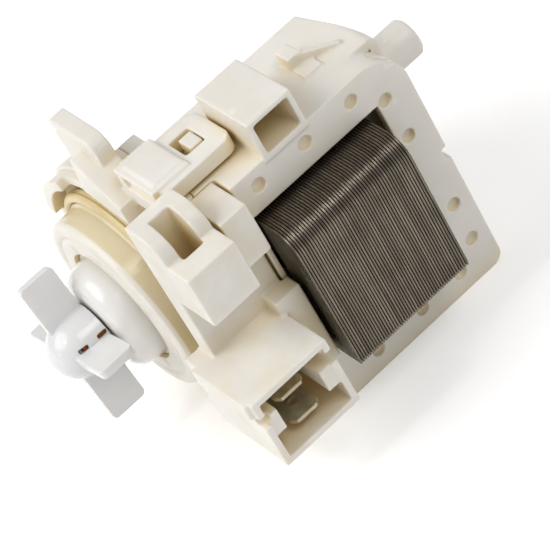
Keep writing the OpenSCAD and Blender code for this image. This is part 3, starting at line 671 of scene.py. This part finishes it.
class DRAINPUMP_OT_impeller(bpy.types.Operator):
    """Softens the impeller and gives it glossy acetal, with its copper insert"""

    bl_idname = "drainpump.impeller"
    bl_label = "Impeller"

    def execute(self, context):
        looks = context.scene.drainpump_looks
        white = polished_acetal(
            "Moulded_acetal_impeller", looks.impeller, "#E2E2E2", "#C2C1BE", 0.5)
        hub = [(HUB_R, DOME_CENTRE + 0.3, HUB_BACK)]
        mesh = soft_edged("impeller", BLADE_GRID, BLADE_PASSES, hub)
        points = vectors(mesh.vertices, "co")
        centre = np.array([0, DOME_CENTRE * MM, 0], np.float32)
        away = points - centre
        reach = np.linalg.norm(away, axis=1)
        near = abs(reach - HUB_R * MM) < DOME_PULL_MM * MM
        near &= points[:, 1] < DOME_CENTRE * MM
        points[near] = centre + away[near] * (HUB_R * MM / reach[near])[:, None]
        mesh.vertices.foreach_set("co", points.ravel())
        mesh.update()
        keep(mesh, "impeller_moulding", white, "impeller_shaft", ["impeller"])
        copper = plain_finish(
            "Turned_copper_insert", linear("#7C4526"), "#A0643C", 1.5, 0.01, 0.35, Metallic=1.0,
        )
        dress("impeller_insert", copper)
        return {"FINISHED"}


class DRAINPUMP_OT_core(bpy.types.Operator):
    """Gives the lamination stack its cut steel"""

    bl_idname = "drainpump.core"
    bl_label = "Lamination stack"

    def execute(self, context):
        dress("core_stack", cut_core_steel("Punched_electrical_steel"))
        return {"FINISHED"}


class DRAINPUMP_OT_terminals(bpy.types.Operator):
    """Bevels the two spade terminals and gives them tarnished tinned brass"""

    bl_idname = "drainpump.terminals"
    bl_label = "Terminals"

    def execute(self, context):
        brass = tinned_brass("Stamped_tinned_brass")
        for node in ("upper_terminal", "lower_terminal"):
            mesh = soft_edged(node, TERMINAL_GRID, TERMINAL_PASSES)
            keep(mesh, node + "_blade", brass, "pump", [node])
        return {"FINISHED"}


class DRAINPUMP_OT_hidden_parts(bpy.types.Operator):
    """Gives the coils, the rotor and the bearings their real materials"""

    bl_idname = "drainpump.hidden_parts"
    bl_label = "Hidden parts"

    def execute(self, context):
        # Glass-filled polyester bobbins: cream, dry and slightly fibrous
        polyester = plain_finish(
            "Moulded_filled_polyester", linear("#C9BD9C"), "#D8CDAE", 2, 0.02, 0.5, IOR=1.57)
        # Black glass-filled nylon claw: dull, with a faint fibrous grain
        nylon = plain_finish(
            "Moulded_black_nylon", linear("#1C1C1B"), "#2A2A28", 1.2, 0.02, 0.5, IOR=1.53)
        # Grey filled thermoplastic core of the rotor: even and matt
        polyphenylene = plain_finish(
            "Moulded_grey_polyphenylene", linear("#7F7E79"), "#8C8B86", 2, 0.02, 0.5, IOR=1.6)
        # Sintered ferrite magnet: charcoal, gritty and without gloss
        ferrite = plain_finish(
            "Sintered_ferrite", linear("#2B2B2D"), "#3A3A3C", 0.6, 0.03, 0.6, Metallic=0.3)
        # Sintered bronze bearings: warm, open-pored and oily
        bronze = plain_finish(
            "Sintered_bronze", linear("#8C6A34"), "#A98548", 0.4, 0.03, 0.4, Metallic=0.9)
        # Nitrile rubber mounts: black, soft and matt
        rubber = plain_finish(
            "Moulded_nitrile_rubber", linear("#161616"), "#222221", 1.5, 0.02, 0.7, IOR=1.52)
        # Ground steel shaft and lapped washers: fine rings round the axis
        steel = brushed_steel("Ground_stainless_steel", "#8F8F8D")
        copper = wound_copper("Enamelled_copper_wire")
        for finish, nodes in (
            (copper, ("upper_winding", "lower_winding")),
            (polyester, ("upper_bobbin", "lower_bobbin")),
            (steel, ("shaft", "front_thrust_washer", "rear_thrust_washer")),
            (nylon, ("drive_claw",)),
            (polyphenylene, ("rotor_carrier",)),
            (ferrite, ("rotor_magnet",)),
            (bronze, ("front_bearing", "rear_bearing")),
            (rubber, ("front_bearing_mount", "rear_bearing_mount")),
        ):
            for node in nodes:
                dress(node, finish)
        return {"FINISHED"}


class DRAINPUMP_OT_mould_marks(bpy.types.Operator):
    """Adds the faint rings that the mould's ejector pins leave"""

    bl_idname = "drainpump.mould_marks"
    bl_label = "Mould marks"

    def execute(self, context):
        looks = context.scene.drainpump_looks
        plastic = aged_polypropylene("Moulded_polypropylene_marks", 4, looks)
        front, rear, under = Vector((0, -1, 0)), Vector((0, 1, 0)), Vector((0, 0, -1))
        slope = Vector((0, 0.7071, 0.7071))
        # Where each ring lies, the way that its face looks, and the ring's radius
        marks = []
        for degrees in (25, 115, 205, 295):
            a = math.radians(degrees)
            x, z = RING_CIRCLE * math.cos(a), RING_CIRCLE * math.sin(a)
            marks.append((Vector((x, SPIGOT_FRONT, z)), front, 0.9))
        marks += [
            (Vector((24, REAR_FACE, 9)), rear, 2.0),
            (Vector((20, REAR_FACE, -22)), rear, 2.2),
            (Vector((-12, REAR_FACE, -22)), rear, 2.2),
            (Vector((26, 52.06, 25.16)), slope, 2.0),
            (Vector((10, 20, FLOOR + 0.06)), under, 2.5),
            (Vector((10, 46, FLOOR + 0.06)), under, 2.5),
        ]
        for i, (centre, axis, radius) in enumerate(marks):
            name = f"ejector_ring_{i + 1}"
            ring_mark(centre, axis, radius, RING_WIDTH, plastic, "pump", name)
        return {"FINISHED"}


class DRAINPUMP_OT_stage(bpy.types.Operator):
    """Sets the floor, the room light, the lamps and the camera"""

    bl_idname = "drainpump.stage"
    bl_label = "Stage"

    def execute(self, context):
        stage = context.scene.drainpump_stage
        half = FLOOR_HALF
        # A hair under the pump, so that the two faces don't flicker
        z = stage.floor_height - 0.02 * MM
        corners = [(-half, -half, z), (half, -half, z), (half, half, z), (-half, half, z)]
        mesh = bpy.data.meshes.new("floor")
        mesh.from_pydata(corners, [], [(0, 1, 2, 3)])
        floor = bpy.data.objects.new("floor", mesh)
        context.scene.collection.objects.link(floor)
        mesh.materials.append(white_floor("White_matt_paper", stage.floor_glow))

        world = bpy.data.worlds.new("Room")
        context.scene.world = world
        world.use_nodes = True
        tree = world.node_tree
        tree.nodes.clear()
        # The camera sees white, and the pump is lit by an even pale light
        seen = seen_by(tree, "Is Camera Ray", "Is Transmission Ray")
        pale = (0.99, 0.99, 1.0, 1.0)
        light = add(tree, "Background", {"Color": pale, "Strength": stage.sky})
        white = add(tree, "Background", {"Color": linear("#FFFFFF"), "Strength": 1.0})
        both = add(tree, "MixShader", {0: seen, 1: light, 2: white})
        add(tree, "OutputWorld", {"Surface": both})

        # Three round lamps look at the pump's middle: one behind and above it, the main one in
        # front, and a small near one that sets the sparks on the white parts
        middle = Vector((10, 28, 0)) * MM
        for name, place, size, power in (
            ("rim_lamp", Vector((0.43, 0.2, 0.71)), stage.rim_size, stage.key * RIM_SHARE),
            ("main_lamp", Vector((-0.22, -0.58, 0.64)), stage.key_size, stage.key),
            ("spark_lamp", Vector((0.03, -0.55, 0.71)), SPARK_SIZE, stage.key * SPARK_SHARE),
        ):
            lamp = bpy.data.lights.new(name, "AREA")
            lamp.shape = "DISK"
            lamp.size = size
            lamp.energy = power
            lamp.color = (1.0, 0.99, 0.975)
            held = bpy.data.objects.new(name, lamp)
            context.scene.collection.objects.link(held)
            held.location = middle + place
            held.rotation_mode = "QUATERNION"
            held.rotation_quaternion = (-place).to_track_quat("-Z", "Y")

        # The photograph's view: the picture's right, its down and its depth in the part's frame,
        # and a point on the pump with its distance and its place in the picture
        right = Vector((0.5748, 0.7176, -0.3932))
        down = Vector((0.3733, -0.6576, -0.6544))
        depth = Vector((-0.7282, 0.2294, -0.6459))
        held_point, distance, held_px = Vector((0, 34, 1.5)), 566.37, (266.0, 167.0)
        offset = (
            right * ((held_px[0] - PHOTO_PX / 2) / FOCAL_PX * distance)
            + down * ((held_px[1] - PHOTO_PX / 2) / FOCAL_PX * distance)
            + depth * distance
        )
        data = bpy.data.cameras.new("camera")
        data.sensor_width = SENSOR_MM
        data.lens = SENSOR_MM * FOCAL_PX / PHOTO_PX
        data.clip_start, data.clip_end = 0.05, 20.0
        camera = bpy.data.objects.new("camera", data)
        context.scene.collection.objects.link(camera)
        turn = Matrix((right, -down, -depth)).transposed()
        camera.matrix_world = Matrix.Translation((held_point - offset) * MM) @ turn.to_4x4()
        context.scene.camera = camera
        context.scene.view_settings.view_transform = "Standard"
        return {"FINISHED"}


class DRAINPUMP_PT_panel(bpy.types.Panel):
    """Lists the pump's pieces and their settings"""

    bl_idname = "DRAINPUMP_PT_panel"
    bl_label = "Drain pump"
    bl_space_type = "VIEW_3D"
    bl_region_type = "UI"
    bl_category = "Drain pump"

    def draw(self, context):
        for group in (context.scene.drainpump_looks, context.scene.drainpump_stage):
            for name in group.bl_rna.properties.keys():
                if name not in ("rna_type", "name"):
                    self.layout.prop(group, name)
        for operator in OPERATORS:
            self.layout.operator(operator.bl_idname)


OPERATORS = (
    DRAINPUMP_OT_moulded_bodies,
    DRAINPUMP_OT_seal,
    DRAINPUMP_OT_boss,
    DRAINPUMP_OT_impeller,
    DRAINPUMP_OT_core,
    DRAINPUMP_OT_terminals,
    DRAINPUMP_OT_hidden_parts,
    DRAINPUMP_OT_mould_marks,
    DRAINPUMP_OT_stage,
)
CLASSES = (PumpLooks, StageLooks, *OPERATORS, DRAINPUMP_PT_panel)


def register():
    """Registers the classes and puts the settings on the scene."""
    for made in CLASSES:
        bpy.utils.register_class(made)
    bpy.types.Scene.drainpump_looks = PointerProperty(type=PumpLooks)
    bpy.types.Scene.drainpump_stage = PointerProperty(type=StageLooks)


def unregister():
    """Takes the settings and the classes away again."""
    del bpy.types.Scene.drainpump_stage
    del bpy.types.Scene.drainpump_looks
    for made in reversed(CLASSES):
        bpy.utils.unregister_class(made)


def main():
    """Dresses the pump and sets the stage."""
    register()
    bpy.ops.drainpump.moulded_bodies()
    bpy.ops.drainpump.seal()
    bpy.ops.drainpump.boss()
    bpy.ops.drainpump.impeller()
    bpy.ops.drainpump.core()
    bpy.ops.drainpump.terminals()
    bpy.ops.drainpump.hidden_parts()
    bpy.ops.drainpump.mould_marks()
    bpy.ops.drainpump.stage()


if __name__ == "__main__":
    main()
